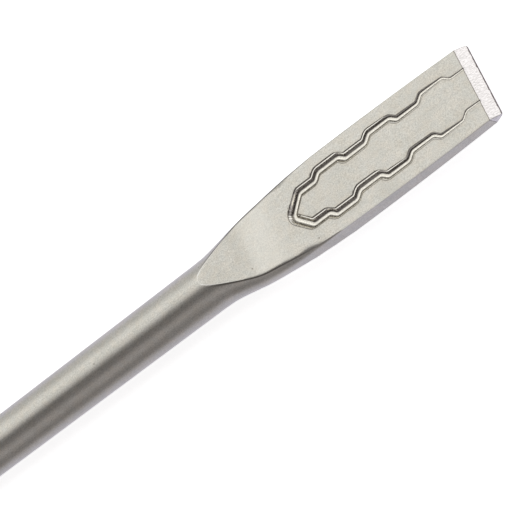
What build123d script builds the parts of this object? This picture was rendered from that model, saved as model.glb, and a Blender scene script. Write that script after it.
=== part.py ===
"""SDS flat chisel, 20 mm wide and 250 mm long: one drop-forged piece of tool steel.

X runs along the tool from the struck end (x = 0) to the cutting edge (x = 250), Y is the
width of the blade and Z its thickness. The axis of the shank is y = z = 0. Millimetres.
"""

import os

from build123d import *

os.makedirs("parts", exist_ok=True)

# Whole tool
LENGTH = 250.0
ROD_RADIUS = 7.0
OUTSIDE = 2 * ROD_RADIUS  # a distance well clear of the blade, for cutting sketches

# Shank that goes into the hammer: round bar with two drive slots and two ball pockets
SHANK_RADIUS = 5.0
SHANK_END = 40.0
SHANK_CHAMFER = 1.0
SHOULDER_LENGTH = 7.0
SHOULDER_BLEND = 3.0
DRIVE_SLOT_WIDTH = 2.8
DRIVE_SLOT_FLOOR = 3.35
DRIVE_SLOT_END = 33.0
BALL_POCKET_RADIUS = 3.5
BALL_POCKET_FLOOR = 3.3
BALL_POCKET_FROM = 11.5
BALL_POCKET_TO = 31.5

# The blade reaches back from the cutting edge to its start. Everything on the neck is placed
# from that start, so that a longer tool has a longer rod and the same neck and blade.
BLADE_LENGTH = 55.1
BEVEL_LENGTH = 2.83

# Hammered faces, above and below: a ramp down from the rod, a short steeper stretch over
# the neck, one long shallow taper and the ground bevel
RAMP_SLOPE = 0.195
RAMP_TOP_BLEND = 12.0
BEND_HALF_THICKNESS = 3.85
BEND_BLEND = 25.0
NECK_FLAT_LENGTH = 20.5
BLADE_HALF_THICKNESS = 2.82
BLADE_BLEND = 180.0
BEVEL_HALF_THICKNESS = 1.83
EDGE_HALF_THICKNESS = 0.18

# Forged neck: oval sections that spread from the round rod, as (distance past the blade's
# start, how far the metal has spread beyond the rod's radius, how far it has sunk below it)
NECK_LENGTH = 37.9
NECK_OVALS = [
    (-34.4, 0.14, 0.00),
    (-30.9, 0.64, 0.00),
    (-26.9, 1.38, 0.00),
    (-22.9, 2.13, 0.00),
    (-18.9, 2.68, 0.01),
    (-13.9, 3.20, 0.05),
    (-8.9, 3.72, 0.15),
    (-3.9, 4.17, 0.32),
    (0.0, 4.39, 0.40),
    (3.1, 4.54, 0.40),
    (7.1, 4.88, 0.40),
]

# Trimmed outline in plan: two shallow arcs, each standing out from its chord by a bulge
TRIM_LENGTH = 17.9
TRIM_START_HALF_WIDTH = 9.78
TRIM_BULGE = 0.164
BLADE_START_HALF_WIDTH = 10.60
BLADE_BULGE = 0.315
EDGE_HALF_WIDTH = 10.0
EDGE_CORNER_RADIUS = 0.6

# Stepped groove pressed into both faces. It starts over the neck, and its bends are a
# little wider than the groove itself.
GROOVE_RADIUS = 1.4
GROOVE_BEND_CLEARANCE = 0.1
GROOVE_LEAD = 6.2
GROOVE_RUNOUT = 2.0
GROOVE_DEPTH_AT_NOSE = 1.25
GROOVE_NARROW = 4.63
GROOVE_WIDE = 6.17
GROOVE_FIRST_STEP = 10.82
GROOVE_STEP_PITCH = 8.52
GROOVE_STEP_LENGTH = 1.76


def line_height(x, start, end):
    """Height at x of the straight line through two (x, height) points."""
    return start[1] + (end[1] - start[1]) * (x - start[0]) / (end[0] - start[0])


blade_x = LENGTH - BLADE_LENGTH
neck_x = blade_x - NECK_LENGTH
bend = (blade_x - NECK_FLAT_LENGTH, BEND_HALF_THICKNESS)
blade_start = (blade_x, BLADE_HALF_THICKNESS)
bevel_start = (LENGTH - BEVEL_LENGTH, BEVEL_HALF_THICKNESS)

# Round bar: chamfered end, shank, shoulder and rod
shoulder_end = SHANK_END + SHOULDER_LENGTH
with BuildPart() as round_bar:
    with BuildSketch(Plane.XZ):
        with BuildLine() as bar_outline:
            Polyline(
                (0, 0),
                (0, SHANK_RADIUS - SHANK_CHAMFER),
                (SHANK_CHAMFER, SHANK_RADIUS),
                (SHANK_END, SHANK_RADIUS),
                (shoulder_end, ROD_RADIUS),
                (neck_x, ROD_RADIUS),
                (neck_x, 0),
                (0, 0),
            )
            shoulder_corners = [
                v for v in bar_outline.vertices() if SHANK_END - 1 < v.X < shoulder_end + 1
            ]
            fillet(shoulder_corners, SHOULDER_BLEND)
        make_face()
    revolve(axis=Axis.X)

    # Drive slots, above and below, open at the struck end
    slot_depth = ROD_RADIUS - DRIVE_SLOT_FLOOR
    with BuildSketch(Plane.XY.offset(DRIVE_SLOT_FLOOR)):
        with Locations((DRIVE_SLOT_END / 2, 0)):
            Rectangle(DRIVE_SLOT_END, DRIVE_SLOT_WIDTH)
    extrude(amount=slot_depth, mode=Mode.SUBTRACT)
    with BuildSketch(Plane.XY.offset(-DRIVE_SLOT_FLOOR)):
        with Locations((DRIVE_SLOT_END / 2, 0)):
            Rectangle(DRIVE_SLOT_END, DRIVE_SLOT_WIDTH)
    extrude(amount=-slot_depth, mode=Mode.SUBTRACT)

    # Pockets for the locking balls, left and right, closed at both ends
    ball_y = BALL_POCKET_FLOOR + BALL_POCKET_RADIUS
    first_ball_x = BALL_POCKET_FROM + BALL_POCKET_RADIUS
    last_ball_x = BALL_POCKET_TO - BALL_POCKET_RADIUS
    for side in (1, -1):
        with Locations((first_ball_x, side * ball_y, 0), (last_ball_x, side * ball_y, 0)):
            Sphere(BALL_POCKET_RADIUS, mode=Mode.SUBTRACT)
        with BuildSketch(Plane.YZ.offset(first_ball_x)):
            with Locations((side * ball_y, 0)):
                Circle(BALL_POCKET_RADIUS)
        extrude(amount=last_ball_x - first_ball_x, mode=Mode.SUBTRACT)

# Side view of the whole tool: what the dies leave between the two hammered faces
with BuildPart() as hammered_faces:
    with BuildSketch(Plane.XZ):
        with BuildLine() as upper_half:
            above_rod = ROD_RADIUS + 0.05
            ramp_top_x = bend[0] - (above_rod - BEND_HALF_THICKNESS) / RAMP_SLOPE
            Polyline(
                (-OUTSIDE, 0),
                (-OUTSIDE, above_rod),
                (ramp_top_x, above_rod),
                bend,
                blade_start,
                bevel_start,
                (LENGTH, EDGE_HALF_THICKNESS),
                (LENGTH, 0),
                (-OUTSIDE, 0),
            )
            corners = upper_half.vertices()
            fillet([v for v in corners if abs(v.X - ramp_top_x) < 0.1], RAMP_TOP_BLEND)
            fillet([v for v in corners if abs(v.X - bend[0]) < 0.1], BEND_BLEND)
            fillet([v for v in corners if abs(v.X - blade_x) < 0.1], BLADE_BLEND)
        make_face()
        mirror(about=Plane.XZ)
    extrude(amount=OUTSIDE, both=True)

# Oval neck, spread by forging
with BuildPart() as neck:
    with BuildSketch(Plane.YZ.offset(neck_x)):
        Circle(ROD_RADIUS)
    for past, spread, sunk in NECK_OVALS:
        with BuildSketch(Plane.YZ.offset(blade_x + past)):
            Ellipse(ROD_RADIUS + spread, ROD_RADIUS - sunk)
    loft()

# Trimmed outline, seen from above
with BuildPart() as trimmed_outline:
    with BuildSketch(Plane.XY):
        with BuildLine():
            trim_start = (blade_x - TRIM_LENGTH, TRIM_START_HALF_WIDTH)
            blade_corner = (blade_x, BLADE_START_HALF_WIDTH)
            edge_corner = (LENGTH, EDGE_HALF_WIDTH)
            Polyline(
                (neck_x - OUTSIDE, 0),
                (neck_x - OUTSIDE, OUTSIDE),
                (trim_start[0], OUTSIDE),
                trim_start,
            )
            SagittaArc(trim_start, blade_corner, TRIM_BULGE)
            SagittaArc(blade_corner, edge_corner, BLADE_BULGE)
            Polyline(edge_corner, (LENGTH, 0), (neck_x - OUTSIDE, 0))
        make_face()
        mirror(about=Plane.XZ)
    extrude(amount=OUTSIDE, both=True)

# Stepped groove, upper and lower: a round-bottomed channel that grows shallow to the edge
with BuildPart() as groove:
    nose_x = blade_x - GROOVE_LEAD
    runout_x = LENGTH - GROOVE_RUNOUT
    nose_face_z = line_height(nose_x, bend, blade_start)
    nose_z = nose_face_z - GROOVE_DEPTH_AT_NOSE + GROOVE_RADIUS
    runout_z = line_height(runout_x, blade_start, bevel_start) + GROOVE_RADIUS
    run = runout_x - nose_x
    groove_plane = Plane(
        origin=(nose_x, 0, nose_z),
        x_dir=(run, 0, runout_z - nose_z),
        z_dir=(nose_z - runout_z, 0, run),
    )
    one_side = [(0, 0), (GROOVE_NARROW, GROOVE_NARROW)]
    step_count = 1 + int((run - GROOVE_FIRST_STEP - GROOVE_STEP_LENGTH) / GROOVE_STEP_PITCH)
    for step in range(step_count):
        step_x = GROOVE_FIRST_STEP + step * GROOVE_STEP_PITCH
        before, after = GROOVE_NARROW, GROOVE_WIDE
        if step % 2 == 1:
            before, after = GROOVE_WIDE, GROOVE_NARROW
        one_side.append((step_x - GROOVE_STEP_LENGTH / 2, before))
        one_side.append((step_x + GROOVE_STEP_LENGTH / 2, after))
    one_side.append((LENGTH - nose_x + GROOVE_RADIUS, one_side[-1][1]))
    other_side = [(x, -y) for x, y in reversed(one_side[1:])]
    with BuildLine(groove_plane) as track:
        FilletPolyline(*other_side, *one_side, radius=GROOVE_RADIUS + GROOVE_BEND_CLEARANCE)
    with BuildSketch(track.line ^ 0):
        Circle(GROOVE_RADIUS)
    sweep(path=track.line)
    mirror(about=Plane.XY)

# The chisel: neck and blade trimmed, bar joined on, faces hammered, grooves pressed in
with BuildPart() as flat_chisel:
    add(neck.part)
    last_oval_x = blade_x + NECK_OVALS[-1][0]
    with BuildSketch(Plane.YZ.offset(last_oval_x)):
        Rectangle(2 * OUTSIDE, 2 * ROD_RADIUS)
    extrude(amount=LENGTH - last_oval_x)
    add(trimmed_outline.part, mode=Mode.INTERSECT)
    add(round_bar.part)
    add(hammered_faces.part, mode=Mode.INTERSECT)
    edge_corners = flat_chisel.edges().filter_by(Axis.Z).filter_by_position(
        Axis.X, LENGTH - 0.01, LENGTH + 0.01
    )
    fillet(edge_corners, EDGE_CORNER_RADIUS)
    add(groove.part, mode=Mode.SUBTRACT)
flat_chisel.part.label = "flat_chisel"

export_step(flat_chisel.part, "parts/flat_chisel.step")
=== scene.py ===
import math

import bpy
import numpy as np
from mathutils import Matrix, Vector


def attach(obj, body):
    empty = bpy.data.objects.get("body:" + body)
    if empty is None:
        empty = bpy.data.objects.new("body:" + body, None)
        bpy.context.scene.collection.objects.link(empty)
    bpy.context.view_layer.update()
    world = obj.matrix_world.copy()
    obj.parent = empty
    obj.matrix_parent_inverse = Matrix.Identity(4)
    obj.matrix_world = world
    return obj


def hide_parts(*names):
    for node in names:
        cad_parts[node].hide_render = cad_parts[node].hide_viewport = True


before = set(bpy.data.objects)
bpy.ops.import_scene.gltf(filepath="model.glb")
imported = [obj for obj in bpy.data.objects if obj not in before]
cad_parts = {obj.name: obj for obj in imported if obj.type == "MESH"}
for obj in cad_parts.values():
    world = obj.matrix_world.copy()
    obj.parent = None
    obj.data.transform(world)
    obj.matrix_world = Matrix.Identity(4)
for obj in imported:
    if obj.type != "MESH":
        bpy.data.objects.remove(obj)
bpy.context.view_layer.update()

# The chisel: one bar of tool steel, drop forged to a neck and a flat blade, with a stepped
# groove pressed into both faces. The shank is turned and milled, the cutting edge ground,
# and the whole bar hardened and shot blasted, which leaves it satin with a fine mottle.

MM = 0.001
LENGTH = 250.0
ROD_RADIUS = 7.0
SHANK_RADIUS = 5.0
SHANK_CHAMFER = 1.0
DRIVE_SLOT = (1.4, 3.35, 33.0)          # half width, floor height, end
BALL_POCKET = (3.5, 3.3, 15.0, 28.0)    # radius, floor height, first and last centre
POCKET_ROUNDING = 0.05
NECK_START = 157.0
EDGE_CORNER_RADIUS = 0.6

# Corners of the hammered faces in side view: x and height
RAMP_TOP = (157.99, 7.05)
BEND = (174.4, 3.85)
BLADE_START = (194.9, 2.82)
BEVEL_START = (247.17, 1.83)
EDGE = (LENGTH, 0.18)

# Side views of the bar and of the faces: corners as (x, height, half length of the bend)
BAR_SIDE = [(40.0, SHANK_RADIUS, 0.42), (47.0, ROD_RADIUS, 0.42)]
FACE_SIDE = [
    (*RAMP_TOP, 1.16),
    (*BEND, 1.78),
    (*BLADE_START, 2.81),
    (*BEVEL_START, 0.08),
    (*EDGE, 0.01),
]

# Forged neck, from the round rod on: (x, half width, half height)
ROD_END = 150.0
NECK_OVALS = [
    (ROD_END, ROD_RADIUS, ROD_RADIUS),
    (NECK_START, ROD_RADIUS, ROD_RADIUS),
    (160.5, 7.14, 7.00),
    (164.0, 7.64, 7.00),
    (168.0, 8.38, 7.00),
    (172.0, 9.13, 7.00),
    (176.0, 9.68, 6.99),
    (181.0, 10.20, 6.95),
    (186.0, 10.72, 6.85),
    (191.0, 11.17, 6.68),
    (BLADE_START[0], 11.39, 6.60),
    (198.0, 11.54, 6.60),
    (202.0, 11.88, 6.60),
]

# Trimmed outline: two shallow arcs, each as its ends (x, half width) and how far it stands
# out from its chord
TRIM_START = 177.0
NECK_TRIM = ((TRIM_START, 9.78), (BLADE_START[0], 10.60), 0.164)
BLADE_TRIM = ((BLADE_START[0], 10.60), (LENGTH, 10.0), 0.315)

# How far the rounding between face and oval and between face and trimmed side reaches. The
# first is a table: places along X and the values there.
FACE_ROUNDING = ([157, 170, 190], [0.03, 0.04, 0.07])
SIDE_ROUNDING = 0.09

# Stepped groove: its track in plan, its depth, and its section as tables along X
GROOVE_CORNER_RADIUS = 1.5
GROOVE_NOSE_X = 188.7
GROOVE_RUNOUT_X = 248.0
GROOVE_NARROW, GROOVE_WIDE = 4.63, 6.17
GROOVE_FIRST_STEP_X = 199.52
GROOVE_STEP_PITCH = 8.52
GROOVE_STEP_LENGTH = 1.76
GROOVE_STEPS = 6
GROOVE_FULL_HALF_WIDTH = 1.4
GROOVE_DEPTH_AT_NOSE = 1.25
GROOVE_LEAST_DEPTH = 0.14
GROOVE_DEPTH_LEFT = ([247.0, 247.8], [1, 0])
GROOVE_BOTTOM_RADIUS = ([233, 246], [1.22, 0.40])
GROOVE_RIM_RADIUS = ([233, 246], [0.32, 0.07])

# Ledge in the groove: its depth as a share of the groove's, and what a step takes off its width
LEDGE_SHIFT = 0.2
LEDGE_SHARE = 0.33
LEDGE_DEPTH_LEFT = ([214, 228], [1, 0])
LEDGE_HALF_WIDTH = ([214, 226, 240], [1.38, 0.85, 0.2])
LEDGE_LOSS_AT_STEP = 0.2
LEDGE_SLOPE_LENGTH = 0.14


def line_height(x, start, end):
    """Height at x of the straight line through two (x, height) points."""
    return start[1] + (end[1] - start[1]) * (x - start[0]) / (end[0] - start[0])


def bent_line(x, corners):
    """Level before the first corner, then straight from corner to corner. Each corner adds its
    change of slope times a ramp that grows as a parabola over the corner's half length."""
    xs, ys, halves = np.array(corners).T
    slopes = np.concatenate([[0.0], np.diff(ys) / np.diff(xs), [0.0]])
    t = x[..., None] - xs
    ramp = np.where(t > halves, t, np.where(t < -halves, 0.0, (t + halves) ** 2 / (4 * halves)))
    return ys[0] + (np.diff(slopes) * ramp).sum(-1)


def smooth_curve(x, table, column):
    """Cubic through the table's points: each stretch blends its end values and end slopes, and
    a point's slope is that of the chord between its two neighbours."""
    points = np.array(table)
    xs, ys = points[:, 0], points[:, column]
    slopes = np.gradient(ys, xs)
    i = np.clip(np.searchsorted(xs, x) - 1, 0, len(xs) - 2)
    step = xs[i + 1] - xs[i]
    t = np.clip((x - xs[i]) / step, 0, 1)
    return (
        (1 + 2 * t) * (1 - t) ** 2 * ys[i]
        + t * (1 - t) ** 2 * step * slopes[i]
        + t * t * (3 - 2 * t) * ys[i + 1]
        + t * t * (t - 1) * step * slopes[i + 1]
    )


def shallow_arc(x, start, end, bulge):
    """Height at x of the circle through start and end whose middle stands out by the bulge."""
    (x0, y0), (x1, y1) = start, end
    chord = math.hypot(x1 - x0, y1 - y0)
    radius = chord * chord / (8 * bulge) + bulge / 2
    inward = (radius - bulge) / chord
    centre_x = (x0 + x1) / 2 + inward * (y1 - y0)
    centre_y = (y0 + y1) / 2 - inward * (x1 - x0)
    return centre_y + np.sqrt(radius**2 - (x - centre_x) ** 2)


def soft_max(a, b, reach):
    """The larger of a and b, raised by a parabola where they differ by less than the reach."""
    return np.maximum(a, b) + np.maximum(reach - np.abs(a - b), 0) ** 2 / (4 * reach)


def groove_track():
    """Points along the middle of the groove, from a short piece on the -Y side round the nose
    to the edge on the +Y side: straight runs joined by arcs that touch both runs at each
    corner."""
    first = GROOVE_NOSE_X
    corners = [(first + GROOVE_NARROW, -GROOVE_NARROW), (first, 0.0)]
    corners.append((first + GROOVE_NARROW, GROOVE_NARROW))
    for step in range(GROOVE_STEPS):
        x = GROOVE_FIRST_STEP_X + step * GROOVE_STEP_PITCH
        sides = (GROOVE_NARROW, GROOVE_WIDE) if step % 2 == 0 else (GROOVE_WIDE, GROOVE_NARROW)
        corners.append((x - GROOVE_STEP_LENGTH / 2, sides[0]))
        corners.append((x + GROOVE_STEP_LENGTH / 2, sides[1]))
    corners.append((LENGTH + GROOVE_FULL_HALF_WIDTH, GROOVE_NARROW))
    corners = np.array(corners)
    runs = [corners[:1]]
    for before, corner, after in zip(corners, corners[1:], corners[2:]):
        a = (before - corner) / np.linalg.norm(before - corner)
        b = (after - corner) / np.linalg.norm(after - corner)
        half = math.acos(a @ b) / 2
        middle = (a + b) / np.linalg.norm(a + b)
        centre = corner + middle * GROOVE_CORNER_RADIUS / math.sin(half)
        touch = GROOVE_CORNER_RADIUS / math.tan(half)
        ends = np.array([corner + a * touch, corner + b * touch]) - centre
        angles = np.unwrap(np.arctan2(ends[:, 1], ends[:, 0]))
        turn = np.linspace(angles[0], angles[1], 9)[:, None]
        arc = centre + GROOVE_CORNER_RADIUS * np.hstack([np.cos(turn), np.sin(turn)])
        runs.append(arc)
    runs.append(corners[-1:])
    return np.vstack(runs)


def distance_to_track(x, y):
    """Shortest distance in plan from each point to the straight pieces of the track."""
    track = groove_track()
    shortest = np.full(x.shape, np.inf)
    for start, end in zip(track, track[1:]):
        run = end - start
        along = ((x - start[0]) * run[0] + (y - start[1]) * run[1]) / (run @ run)
        along = np.clip(along, 0, 1)
        gap = np.hypot(x - start[0] - along * run[0], y - start[1] - along * run[1])
        shortest = np.minimum(shortest, gap)
    return shortest


def groove_shape(x, y, face):
    """How far the groove sinks each point below the face, and how far the point lies in plan
    from its rim, less than nothing inside. The floor is a straight line that rises towards the
    edge. In section a circle at the bottom touches a smaller one that turns over at the rim.
    A second blow of the dies left a ledge on the walls that face -Y: the same track moved that
    way, with a flat floor and a short slope up, missing where the track steps towards -Y."""
    nose_face = line_height(GROOVE_NOSE_X, BEND, BLADE_START)
    runout_face = line_height(GROOVE_RUNOUT_X, BLADE_START, BEVEL_START)
    nose_floor = (GROOVE_NOSE_X, nose_face - GROOVE_DEPTH_AT_NOSE)
    floor = line_height(x, nose_floor, (GROOVE_RUNOUT_X, runout_face))
    depth = np.maximum(face - floor, GROOVE_LEAST_DEPTH) * np.interp(x, *GROOVE_DEPTH_LEFT)

    bottom = np.interp(x, *GROOVE_BOTTOM_RADIUS)
    rim = np.interp(x, *GROOVE_RIM_RADIUS)
    half_width = np.sqrt(np.maximum((bottom + rim) ** 2 - (bottom + rim - depth) ** 2, 0))
    touch = half_width * bottom / (bottom + rim)
    gap = distance_to_track(x, np.abs(y))
    round_bottom = depth - bottom + np.sqrt(np.maximum(bottom**2 - gap**2, 0))
    round_rim = rim - np.sqrt(np.maximum(rim**2 - (half_width - gap) ** 2, 0))
    sunk = np.where(gap < touch, round_bottom, np.where(gap < half_width, round_rim, 0))

    steps_passed = (x - GROOVE_FIRST_STEP_X) / GROOVE_STEP_PITCH
    step_to_near_side = np.cos(math.pi * (steps_passed - (y > 0)))
    missing = np.maximum(step_to_near_side, 0) ** 8
    ledge_width = np.interp(x, *LEDGE_HALF_WIDTH) - LEDGE_LOSS_AT_STEP * missing
    ledge_depth = LEDGE_SHARE * depth * (1 - missing) * np.interp(x, *LEDGE_DEPTH_LEFT)
    ledge_gap = distance_to_track(x, np.abs(y - LEDGE_SHIFT))
    slope = np.clip((ledge_width - ledge_gap) / LEDGE_SLOPE_LENGTH, 0, 1)
    sunk = np.maximum(sunk, ledge_depth * slope)

    # Inside, the distance is stretched to that of a full groove, so that the walls of the
    # narrow end carry the same bands of colour
    from_rim = np.minimum(gap - half_width, ledge_gap - ledge_width)
    stretch = GROOVE_FULL_HALF_WIDTH / np.maximum(half_width, 0.1)
    return sunk, np.where(from_rim < 0, from_rim * stretch, from_rim)


def row_places():
    """Places of the rows along X: close together where the shape changes quickly."""
    return np.concatenate([
        [0.0, 0.06, 0.94, 1.0, 1.06],                  # chamfer of the struck end
        np.linspace(2.5, 10.5, 4),
        np.linspace(11.4, 15.0, 13),                   # first ends of the ball pockets
        np.linspace(18.0, 25.0, 3),
        np.linspace(28.0, 31.6, 13),                   # last ends of the ball pockets
        [32.5, 32.92, 32.99, 33.01, 33.08, 34.0, 37.0],    # ends of the drive slots
        np.linspace(39.2, 47.8, 18),                   # shoulder
        np.linspace(52.0, 152.0, 9),                   # rod
        np.arange(155.0, 187.0, 0.45),                 # neck
        np.arange(187.0, 246.9, 0.21),                 # grooved blade
        np.linspace(246.95, 247.4, 6),                 # start of the bevel
        np.linspace(247.55, 249.25, 12),               # bevel
        LENGTH - EDGE_CORNER_RADIUS * (1 - np.sin(np.linspace(0.1, math.pi / 2, 9))),
    ])


def groove_columns(x):
    """Distance of the groove's middle from the axis at each x, evened out over a millimetre, and
    how much longer than its width a straight cut across it along Y is. Rows just ahead of the
    nose take the values of rows as far behind its tip."""
    tip, straight_from, half_span = GROOVE_NOSE_X + 0.6, 194.5, 0.4
    track = groove_track()
    track = track[track[:, 1] >= 0]
    behind_tip = tip + np.abs(x - tip)
    behind_tip = np.where(x < GROOVE_NOSE_X, np.minimum(behind_tip, straight_from), behind_tip)
    nearby = behind_tip + np.linspace(-0.5, 0.5, 5)
    middle = np.interp(nearby, track[:, 0], track[:, 1]).mean(-1, keepdims=True)
    ahead = np.interp(behind_tip + half_span, track[:, 0], track[:, 1])
    behind = np.interp(behind_tip - half_span, track[:, 0], track[:, 1])
    return middle, np.hypot(1, (ahead - behind) / (2 * half_span))


def column_angles(x, wide, high):
    """Angle of each row's columns round the axis. On the blade a quarter's columns aim at points
    up the side, round the corner and across the face, and are closest over the groove; on the
    shank they are even; along the rod one set blends into the other."""
    side_count, corner_count, outer_count, groove_count, island_count = 4, 5, 4, 34, 7
    groove_band, rod_from = 1.7, 60.0
    corner = np.minimum(0.42, 0.3 * high)
    turn = np.linspace(0, math.pi / 2, corner_count, endpoint=False)
    up_side = np.linspace(0, 1, side_count, endpoint=False) * (high - corner)
    middle, stretch = groove_columns(x)
    outer = np.minimum(middle + groove_band * stretch, wide - corner - 0.5)
    inner = np.maximum(middle - groove_band * stretch, 0.1 + 0.05 * middle)
    to_outer = np.linspace(0, 1, outer_count, endpoint=False)
    to_inner = np.linspace(0, 1, groove_count, endpoint=False)
    across_face = np.hstack([
        wide - corner + to_outer * (outer - wide + corner),
        outer + to_inner * (inner - outer),
        inner * (1 - np.linspace(0, 1, island_count)),
    ])
    target_y = np.hstack([
        wide + 0 * up_side, wide - corner * (1 - np.cos(turn)), across_face,
    ])
    target_z = np.hstack([
        up_side, high - corner * (1 - np.sin(turn)), high + 0 * across_face,
    ])
    blade_angle = np.arctan2(target_z, target_y)
    even_angle = np.linspace(0, math.pi / 2, blade_angle.shape[1])
    share = np.clip((x - rod_from) / (ROD_END - rod_from), 0, 1)
    quarter = share * blade_angle + (1 - share) * even_angle
    return np.hstack([
        quarter,
        math.pi - quarter[:, -2::-1],
        math.pi + quarter[:, 1:],
        2 * math.pi - quarter[:, -2:0:-1],
    ])


def chisel_surface():
    """Points of the bar on a grid of rows along X and columns round the axis, and each point's
    distances from the groove's rim and from the border of the hammered face. A row's section
    is the oval, the two faces, the two trimmed sides and the ball pockets at that x, whichever
    is nearest on the ray from the axis, with their corners rounded; the groove and the drive
    slots then lower the height where they pass."""
    x = row_places()[:, None]
    bar = bent_line(x, BAR_SIDE) - np.maximum(SHANK_CHAMFER - x, 0)
    oval_width = np.where(x < ROD_END, bar, smooth_curve(x, NECK_OVALS, 1))
    oval_height = np.where(x < ROD_END, bar, smooth_curve(x, NECK_OVALS, 2))
    face = bent_line(x, FACE_SIDE)
    blade_x = BLADE_START[0]
    neck_side = shallow_arc(np.clip(x, TRIM_START, blade_x), *NECK_TRIM)
    blade_side = shallow_arc(np.clip(x, blade_x, LENGTH), *BLADE_TRIM)
    side = np.where(x < blade_x, neck_side, blade_side)
    side = np.where(x < TRIM_START, 2 * ROD_RADIUS, side)
    into_corner = np.clip(x - LENGTH + EDGE_CORNER_RADIUS, 0, EDGE_CORNER_RADIUS)
    side = side - EDGE_CORNER_RADIUS + np.sqrt(EDGE_CORNER_RADIUS**2 - into_corner**2)

    # Nearest surface on each ray, found by halving the ray's first 16 mm over and over: every
    # term is the distance outside its surface
    angle = column_angles(x, np.minimum(side, oval_width), np.minimum(face, oval_height))
    c, s = np.cos(angle), np.sin(angle)
    oval_reach = 1 / np.sqrt((c / oval_width) ** 2 + (s / oval_height) ** 2)
    normal = np.stack([c / oval_width**2, s / oval_height**2]) * oval_reach
    facing = (c * normal[0] + s * normal[1]) / np.hypot(*normal)
    rounding = np.interp(x, *FACE_ROUNDING)
    pocket_radius, pocket_floor, first_ball, last_ball = BALL_POCKET
    ball_x = x - np.clip(x, first_ball, last_ball)
    near, far = np.zeros(c.shape), np.full(c.shape, 16.0)
    for _ in range(34):
        reach = (near + far) / 2
        outside = soft_max((reach - oval_reach) * facing, reach * np.abs(s) - face, rounding)
        outside = soft_max(outside, reach * np.abs(c) - side, SIDE_ROUNDING)
        ball_y = reach * np.abs(c) - pocket_floor - pocket_radius
        into_pocket = pocket_radius - np.sqrt(ball_x**2 + ball_y**2 + (reach * s) ** 2)
        outside = soft_max(outside, into_pocket, POCKET_ROUNDING)
        near = np.where(outside < 0, reach, near)
        far = np.where(outside < 0, far, reach)
    y, z = near * c, near * s
    x = np.broadcast_to(x, y.shape)

    sunk, from_rim = groove_shape(x, y, face)
    height = np.where(sunk > 0, np.minimum(np.abs(z), face - sunk), np.abs(z))

    # Drive slots: a flat floor between two upright walls
    slot_half_width, slot_floor, slot_end = DRIVE_SLOT
    in_slot = (np.abs(y) < slot_half_width) & (x < slot_end)
    height = np.where(in_slot, np.minimum(height, slot_floor), height)

    # Distance from the border of the hammered face: more than nothing on the face, less down
    # the side, and far below nothing on the rod, which has no such border
    oval_at_face = oval_width * np.sqrt(np.maximum(1 - (face / oval_height) ** 2, 0))
    inward = np.maximum(np.minimum(side, oval_at_face) - np.abs(y), 0)
    down = np.maximum(face - np.abs(z), 0)
    from_border = np.where(inward > down, 1, -1) * np.hypot(inward, down)
    from_border -= 3 * np.maximum(RAMP_TOP[0] + 0.4 - x, 0)
    return np.stack([x, y, np.sign(z) * height], -1), from_rim, from_border


def closed_tube(name, grid, fields):
    """Mesh of a grid of rows and columns: each column joins the next and the last joins the
    first, and a point on the axis closes the first row and another the last. The columns run
    anticlockwise seen from the last row, and the faces point outwards. The fields are numbers
    per point, kept as attributes."""
    row_count, column_count = grid.shape[:2]
    end_points = [[grid[0, 0, 0], 0, 0], [grid[-1, 0, 0], 0, 0]]
    vertices = np.vstack([grid.reshape(-1, 3), end_points])
    index = np.arange(row_count * column_count).reshape(row_count, column_count)
    beside = np.roll(index, -1, axis=1)
    walls = np.stack([index[:-1], beside[:-1], beside[1:], index[1:]], -1).reshape(-1, 4)
    closing = np.full(column_count, index.size)
    first_end = np.stack([beside[0], index[0], closing], -1)
    last_end = np.stack([index[-1], beside[-1], closing + 1], -1)
    faces = [*walls.tolist(), *first_end.tolist(), *last_end.tolist()]
    mesh = bpy.data.meshes.new(name)
    mesh.from_pydata((vertices * MM).tolist(), [], faces)
    mesh.update()
    far = 9.0
    for label, values in fields.items():
        attribute = mesh.attributes.new(label, "FLOAT", "POINT")
        values = np.clip(np.append(values.ravel(), [far, far]), -far, far)
        attribute.data.foreach_set("value", values.astype(np.float32))
    piece = bpy.data.objects.new(name, mesh)
    bpy.context.scene.collection.objects.link(piece)
    return piece


points, from_rim, from_border = chisel_surface()
chisel = closed_tube("forged_chisel", points, {
    "from_rim": from_rim, "from_border": from_border,
})
chisel.data.shade_smooth()
chisel.data.set_sharp_from_angle(angle=math.radians(62))


def linear_colour(text):
    """sRGB hex text as linear red, green, blue and an alpha of one: each channel follows the
    sRGB curve, straight near black and a power of 2.4 above."""
    levels = np.array([int(text[i : i + 2], 16) for i in (0, 2, 4)]) / 255
    linear = np.where(levels <= 0.04045, levels / 12.92, ((levels + 0.055) / 1.055) ** 2.4)
    return (*linear.tolist(), 1.0)


def add_node(tree, kind, inputs=None, **settings):
    """Adds a node, sets its properties, and sets or links its inputs by name or number."""
    node = tree.nodes.new(kind)
    for name, value in settings.items():
        setattr(node, name, value)
    for name, value in (inputs or {}).items():
        if isinstance(value, bpy.types.NodeSocket):
            tree.links.new(value, node.inputs[name])
        else:
            node.inputs[name].default_value = value
    return node


def mask(tree, *parts):
    """Product of the parts. A part is a number, a socket or a group of a socket and the values
    at which it counts as nothing and as all, smooth in between. A group may end with two levels
    to use in place of nothing and all."""
    product = None
    for part in parts:
        if isinstance(part, tuple):
            value, start, end, *levels = part
            low, high = levels or (0.0, 1.0)
            part = add_node(tree, "ShaderNodeMapRange", {
                "Value": value, "From Min": start, "From Max": end, "To Min": low, "To Max": high,
            }, interpolation_type="SMOOTHSTEP").outputs["Result"]
        if product is None:
            product = part
        else:
            product = add_node(tree, "ShaderNodeMath", {0: product, 1: part},
                               operation="MULTIPLY").outputs[0]
    return product


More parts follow.
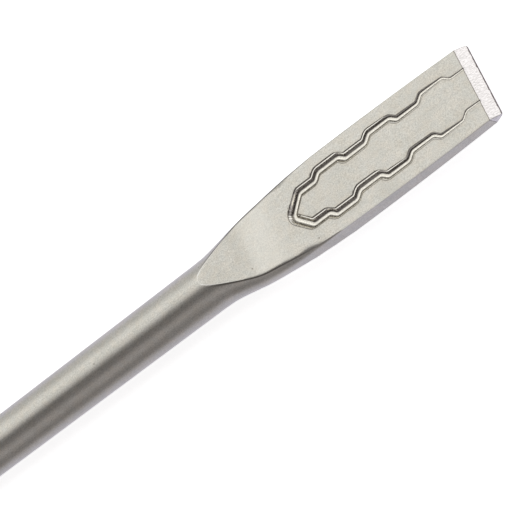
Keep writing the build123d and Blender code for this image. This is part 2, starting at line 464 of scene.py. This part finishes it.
def two_tone(tree, pattern, start, end, first, second):
    """The first colour where the pattern is at start, the second where it is at end."""
    return add_node(tree, "ShaderNodeMix", {
        "Factor": mask(tree, (pattern, start, end)),
        "A": linear_colour(first), "B": linear_colour(second),
    }, data_type="RGBA").outputs["Result"]


def laid_over(tree, colour, *layers):
    """The colour with layers laid over it in turn, each a share and a colour or its hex text."""
    for share, layer in layers:
        colour = add_node(tree, "ShaderNodeMix", {
            "Factor": share, "A": colour,
            "B": linear_colour(layer) if isinstance(layer, str) else layer,
        }, data_type="RGBA").outputs["Result"]
    return colour


def blasted_tool_steel():
    """Hardened tool steel, shot blasted to a warm satin grey with a fine grain. The groove is
    smoother, with specks of dark scale and painted shade on its steep walls, painted shade along
    its rims and a painted highlight on its ledge. Borders of the hammered faces carry a painted
    highlight, with painted shade just below them and along the far edge, and the bend of the ramp
    carries a faint painted highlight; the bevel is ground bright with fine marks, behind a thin
    ragged line of scale."""
    material = bpy.data.materials.new("blasted_tool_steel")
    material.use_nodes = True
    tree = material.node_tree
    tree.nodes.clear()
    place = add_node(tree, "ShaderNodeTexCoord").outputs["Object"]
    along, sideways = add_node(tree, "ShaderNodeSeparateXYZ", {0: place}).outputs[:2]
    rim = add_node(tree, "ShaderNodeAttribute", attribute_name="from_rim").outputs["Fac"]
    border = add_node(tree, "ShaderNodeAttribute", attribute_name="from_border").outputs["Fac"]

    # Patterns, each with the size of its patches in millimetres, its detail and its roughness.
    # The pits of the shot and the scratches of the grinding wheel are about 0.1 mm wide, and
    # are drawn coarser because that is too fine to show.
    drawn_place = add_node(tree, "ShaderNodeMapping", {
        "Vector": place, "Scale": (0.06, 1.0, 1.0),
    }).outputs["Vector"]
    ground_place = add_node(tree, "ShaderNodeMapping", {
        "Vector": place, "Scale": (0.35, 1.6, 1.0), "Rotation": (0.0, 0.0, 0.35),
    }).outputs["Vector"]
    grain, specks, ragged, patches, clouds, streaks, marks = [
        add_node(tree, "ShaderNodeTexNoise", {
            "Vector": where, "Scale": 1 / (size * MM), "Detail": detail, "Roughness": roughness,
        }).outputs["Fac"]
        for where, size, detail, roughness in (
            (place, 0.30, 2.0, 0.6),           # grain of the blasting
            (place, 0.28, 1.0, 0.5),           # specks of scale
            (place, 0.80, 3.0, 0.7),           # ragged borders
            (place, 2.20, 2.0, 0.5),           # patches that turn a little warmer
            (place, 7.00, 2.0, 0.5),           # broad clouds
            (drawn_place, 0.60, 2.0, 0.5),     # faint streaks along the bar
            (ground_place, 0.42, 3.0, 0.6),    # marks of the grinding
        )
    ]

    blasted = two_tone(tree, grain, 0.22, 0.78, "B8B5AF", "DEDBD4")
    for pattern, start, end, first, second in (
        (patches, 0.35, 0.70, "FBFCFA", "FFFDF8"),
        (streaks, 0.30, 0.70, "F9F9F9", "FFFFFF"),
        (clouds, 0.35, 0.65, "F9F9F8", "FFFFFF"),
    ):
        blasted = add_node(tree, "ShaderNodeMix", {
            "Factor": 1.0, "A": blasted, "B": two_tone(tree, pattern, start, end, first, second),
        }, data_type="RGBA", blend_type="MULTIPLY").outputs["Result"]

    # Small dark pits, few and far between: one in about every sixth of cells 3.3 mm wide
    cell = add_node(tree, "ShaderNodeTexVoronoi", {"Vector": place, "Scale": 3 / (10 * MM)})
    chance = add_node(tree, "ShaderNodeSeparateColor", {0: cell.outputs["Color"]}).outputs[0]
    chance = add_node(tree, "ShaderNodeMath", {0: chance, 1: 7.0}, operation="MULTIPLY")
    chance = add_node(tree, "ShaderNodeMath", {0: chance.outputs[0]}, operation="FRACT")
    chosen = add_node(tree, "ShaderNodeMath", {0: chance.outputs[0], 1: 0.18},
                      operation="LESS_THAN").outputs[0]
    pit = mask(tree, (cell.outputs["Distance"], 0.085, 0.045), chosen)

    # Layers over the blasted metal, from the first laid to the last
    # Painted highlight: the bend of the ramp a little brighter
    painted_bend_highlight = mask(tree, (along, 170 * MM, 177 * MM), (along, 187 * MM, 179 * MM), 0.3)
    # Painted highlight: a thin bright line along the borders of the hammered faces
    painted_edge_highlight = mask(tree, (border, 0.20, 0.06), (border, -0.07, -0.02), (ragged, 0.28, 0.45),
                (along, 163 * MM, 176 * MM, 0.8, 0.3))
    # Painted shade: a thin dark line just below the borders of the faces
    below = mask(tree, (border, 0.08, 0.0), (border, -0.42, -0.22),
                 (along, 158 * MM, 166 * MM), (along, 178 * MM, 200 * MM, 0.75, 0.15))
    # Painted shade along the far edge of the faces, on the +Y side only
    trimmed = mask(tree, (border, 0.20, 0.08), (border, -0.40, -0.25),
                   (sideways, 4 * MM, 7 * MM), (along, 164 * MM, 172 * MM),
                   (along, 200 * MM, 235 * MM, 0.75, 0.2))
    stain = mask(tree, (rim, 0.9, 0.0), (ragged, 0.35, 0.65), 0.22)
    blasted = laid_over(
        tree, blasted,
        (painted_bend_highlight, "E8E5DC"),                        # painted highlight over the bend of the ramp
        (mask(tree, pit, 0.7), "6E675C"),        # pits
        (painted_edge_highlight, "F0EFEA"),                        # painted highlight along the borders of the faces
        (below, "57524A"),                       # thin line of painted shade just below them
        (trimmed, "544D47"),                     # painted shade along the far edge of the faces
        (stain, "B3A68C"),                       # warm stain of scale just outside the groove
    )

    # Groove: smoother metal, with specks of dark scale on the walls, painted shade on the walls
    # and along the rims, thinner towards the cutting edge, and a painted highlight on the ledge
    in_groove = mask(tree, (rim, 0.02, -0.10))
    fading = mask(tree, (along, 232 * MM, 246 * MM, 1.0, 0.3))
    speck = mask(tree, (specks, 0.46, 0.54), (rim, -1.05, -0.80), (rim, -0.36, -0.50), 0.85)
    # Painted shade: a dark band on the walls of the groove
    painted_groove_wall_shade = mask(tree, (rim, -1.15, -0.90), (rim, -0.45, -0.62), fading, 0.58)
    # Painted highlight: a bright strip on the ledge in the groove
    ledge = mask(tree, (rim, -0.52, -0.40), (rim, -0.12, -0.20), 0.6)
    pressed = laid_over(
        tree, two_tone(tree, grain, 0.3, 0.7, "CDC9BE", "EFEBE0"),
        (speck, "544D43"),
        (painted_groove_wall_shade, "4A4239"),
        (ledge, "FAF7EE"),
    )
    uneven = add_node(tree, "ShaderNodeMath", {0: ragged, 1: 0.5, 2: 0.5},
                      operation="MULTIPLY_ADD").outputs[0]
    # Painted shade: an uneven dark line along the rims of the groove, thinner towards the cutting
    # edge
    painted_groove_rim_shade = mask(tree, (rim, 0.10, 0.02), (rim, -0.20, -0.09), uneven, fading)

    # Bevel: ground bright, behind a ragged line, with short marks across the edge. The cutting
    # edge's narrow land is dark from its hardening.
    start = add_node(tree, "ShaderNodeMath", {
        0: ragged, 1: 0.22 * MM, 2: (BEVEL_START[0] - 0.11) * MM,
    }, operation="MULTIPLY_ADD").outputs[0]
    past = add_node(tree, "ShaderNodeMath", {0: along, 1: start},
                    operation="SUBTRACT").outputs[0]
    on_bevel = mask(tree, (past, 0.0, 0.05 * MM))
    bevel_line = mask(tree, (past, -0.16 * MM, -0.04 * MM), (past, 0.09 * MM, 0.02 * MM), 0.75)
    near_edge = add_node(tree, "ShaderNodeMath", {0: ragged, 1: 0.5 * MM, 2: along},
                         operation="MULTIPLY_ADD").outputs[0]
    land = mask(tree, (near_edge, (LENGTH + 0.02) * MM, (LENGTH + 0.14) * MM), 0.9)
    colour = laid_over(
        tree, blasted,
        (in_groove, pressed),
        (painted_groove_rim_shade, "57504A"),
        (on_bevel, two_tone(tree, marks, 0.3, 0.7, "CDC9C7", "EAE6E5")),
        (bevel_line, "564C43"),
        (land, "463833"),
    )

    # Gloss: satin where blasted, smoother in the groove and on the bevel
    gloss = add_node(tree, "ShaderNodeMath", {0: grain, 1: 0.10, 2: 0.25},
                     operation="MULTIPLY_ADD").outputs[0]
    for share, roughness in ((in_groove, 0.08), (on_bevel, 0.26)):
        gloss = add_node(tree, "ShaderNodeMix", {"Factor": share, "A": gloss, "B": roughness},
                         data_type="FLOAT").outputs["Result"]

    relief = add_node(tree, "ShaderNodeMix", {"Factor": on_bevel, "A": grain, "B": marks},
                      data_type="FLOAT").outputs["Result"]
    relief = add_node(tree, "ShaderNodeMath", {0: relief, 1: mask(tree, pit, 0.8)},
                      operation="SUBTRACT").outputs[0]
    bump = add_node(tree, "ShaderNodeBump", {
        "Height": relief, "Distance": 0.012 * MM, "Strength": 1.0,
    })
    surface = add_node(tree, "ShaderNodeBsdfPrincipled", {
        "Base Color": colour,
        "Metallic": 1.0,
        "Roughness": gloss,
        "Normal": bump.outputs["Normal"],
    })
    add_node(tree, "ShaderNodeOutputMaterial", {"Surface": surface.outputs["BSDF"]})
    return material


chisel.data.materials.append(blasted_tool_steel())
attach(chisel, "root")
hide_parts("flat_chisel")

# The stage: a plain white table top under the chisel, which lies on its rod, and the soft
# light of a room with pale walls, bright over the far side and dim on the near side.

TABLE_REACH = 3000.0
table_mesh = bpy.data.meshes.new("table_top")
table_mesh.from_pydata(
    [
        (side_x * TABLE_REACH * MM, side_y * TABLE_REACH * MM, -ROD_RADIUS * MM)
        for side_x, side_y in ((-1, -1), (1, -1), (1, 1), (-1, 1))
    ],
    [],
    [(0, 1, 2, 3)],
)
table_top = bpy.data.objects.new("table_top", table_mesh)
bpy.context.scene.collection.objects.link(table_top)

# Matt white board, a little brighter to the camera than its light makes it, so that it shows
# plain white with only a faint shadow
white = bpy.data.materials.new("white_table_top")
white.use_nodes = True
tree = white.node_tree
tree.nodes.clear()
seen = add_node(tree, "ShaderNodeLightPath").outputs["Is Camera Ray"]
matt = add_node(tree, "ShaderNodeBsdfDiffuse", {"Color": linear_colour("E7E7E7")})
glow = add_node(tree, "ShaderNodeEmission", {"Color": linear_colour("FFFFFF"), "Strength": 0.75})
both = add_node(tree, "ShaderNodeAddShader", {0: matt.outputs[0], 1: glow.outputs[0]})
shown = add_node(tree, "ShaderNodeMixShader", {
    0: seen, 1: matt.outputs[0], 2: both.outputs[0],
})
add_node(tree, "ShaderNodeOutputMaterial", {"Surface": shown.outputs[0]})
table_mesh.materials.append(white)
table_top.visible_glossy = False

# Light of the room by direction, as the angle from straight up towards the far side, its
# level and its tint: a lamp above the far side, a dark gap over the near side, and the
# cooler light that the white table throws up from below
NEUTRAL, WARM, COOL = (1.0, 1.0, 1.0), (1.0, 0.955, 0.98), (1.0, 0.985, 1.12)
ROOM_LIGHT = [
    (-180, 0.86, COOL), (-168, 0.68, COOL), (-150, 0.68, COOL), (-134, 0.67, COOL),
    (-124, 0.54, WARM), (-116, 0.38, WARM), (-108, 0.27, WARM), (-98, 0.25, WARM),
    (-88, 0.31, WARM), (-76, 0.42, WARM), (-65, 0.50, WARM), (-56, 0.45, WARM),
    (-46, 0.31, WARM), (-38, 0.20, WARM), (-28, 0.20, WARM), (-14, 0.13, WARM),
    (-4, 0.56, WARM), (1, 0.85, NEUTRAL), (8, 1.05, NEUTRAL), (24, 1.10, NEUTRAL),
    (30, 1.22, NEUTRAL), (36, 1.40, NEUTRAL), (42, 1.12, NEUTRAL), (52, 0.90, NEUTRAL),
    (64, 0.73, NEUTRAL), (80, 0.68, NEUTRAL), (102, 0.81, COOL), (116, 0.76, COOL),
    (134, 0.87, COOL), (180, 0.86, COOL),
]

# The same light is a little stronger towards some parts of the tool's length: the direction's
# X, from -1 to 1, and the level there
LENGTHWISE = [
    (-1.0, 0.96), (-0.45, 0.98), (-0.36, 1.01), (-0.28, 1.12), (-0.16, 0.89), (0.1, 0.95),
    (0.45, 1.12), (1.0, 1.0),
]

room = bpy.data.worlds.new("soft_room")
bpy.context.scene.world = room
room.use_nodes = True
tree = room.node_tree
tree.nodes.clear()
way = add_node(tree, "ShaderNodeTexCoord").outputs["Generated"]
parts = add_node(tree, "ShaderNodeSeparateXYZ", {0: way})
angle = add_node(tree, "ShaderNodeMath", {0: parts.outputs["Y"], 1: parts.outputs["Z"]},
                 operation="ARCTAN2").outputs[0]
ramps = []
for value, half_range, stops in (
    (angle, math.pi, [
        (degrees / 360 + 0.5, [level * part for part in tint])
        for degrees, level, tint in ROOM_LIGHT
    ]),
    (parts.outputs["X"], 1.0, [(way_x / 2 + 0.5, [level] * 3) for way_x, level in LENGTHWISE]),
):
    share = add_node(tree, "ShaderNodeMath", {0: value, 1: 0.5 / half_range, 2: 0.5},
                     operation="MULTIPLY_ADD")
    ramp = add_node(tree, "ShaderNodeValToRGB", {"Fac": share.outputs[0]})
    elements = ramp.color_ramp.elements
    while len(elements) < len(stops):
        elements.new(0.5)
    for element, (position, colour) in zip(elements, stops):
        element.position = position
        element.color = (*colour, 1)
    ramps.append(ramp.outputs["Color"])
light = add_node(tree, "ShaderNodeBackground", {"Color": ramps[0], "Strength": ramps[1]})
add_node(tree, "ShaderNodeOutputWorld", {"Surface": light.outputs[0]})

# Camera: the photograph's viewing angle, above the blade and in front of its near side. Its
# place is in millimetres, and its axes are the picture's right, up and towards the viewer.
CAMERA_PLACE = (403.506, -183.237, 383.153)
CAMERA_AXES = (
    (0.702500, -0.380765, -0.601259),
    (0.528102, 0.845236, 0.081755),
    (0.477076, -0.374959, 0.794861),
)
SENSOR = 36.0
FOCAL_PIXELS = 1900.0
IMAGE_PIXELS = 520.0
lens = bpy.data.cameras.new("camera")
lens.sensor_width = SENSOR
lens.lens = FOCAL_PIXELS / IMAGE_PIXELS * SENSOR
lens.clip_start, lens.clip_end = 10 * MM, 20000 * MM
camera = bpy.data.objects.new("camera", lens)
bpy.context.scene.collection.objects.link(camera)
turn = Matrix(CAMERA_AXES).transposed().to_4x4()
camera.matrix_world = Matrix.Translation(Vector(CAMERA_PLACE) * MM) @ turn
bpy.context.scene.camera = camera

bpy.context.scene.view_settings.view_transform = "Standard"
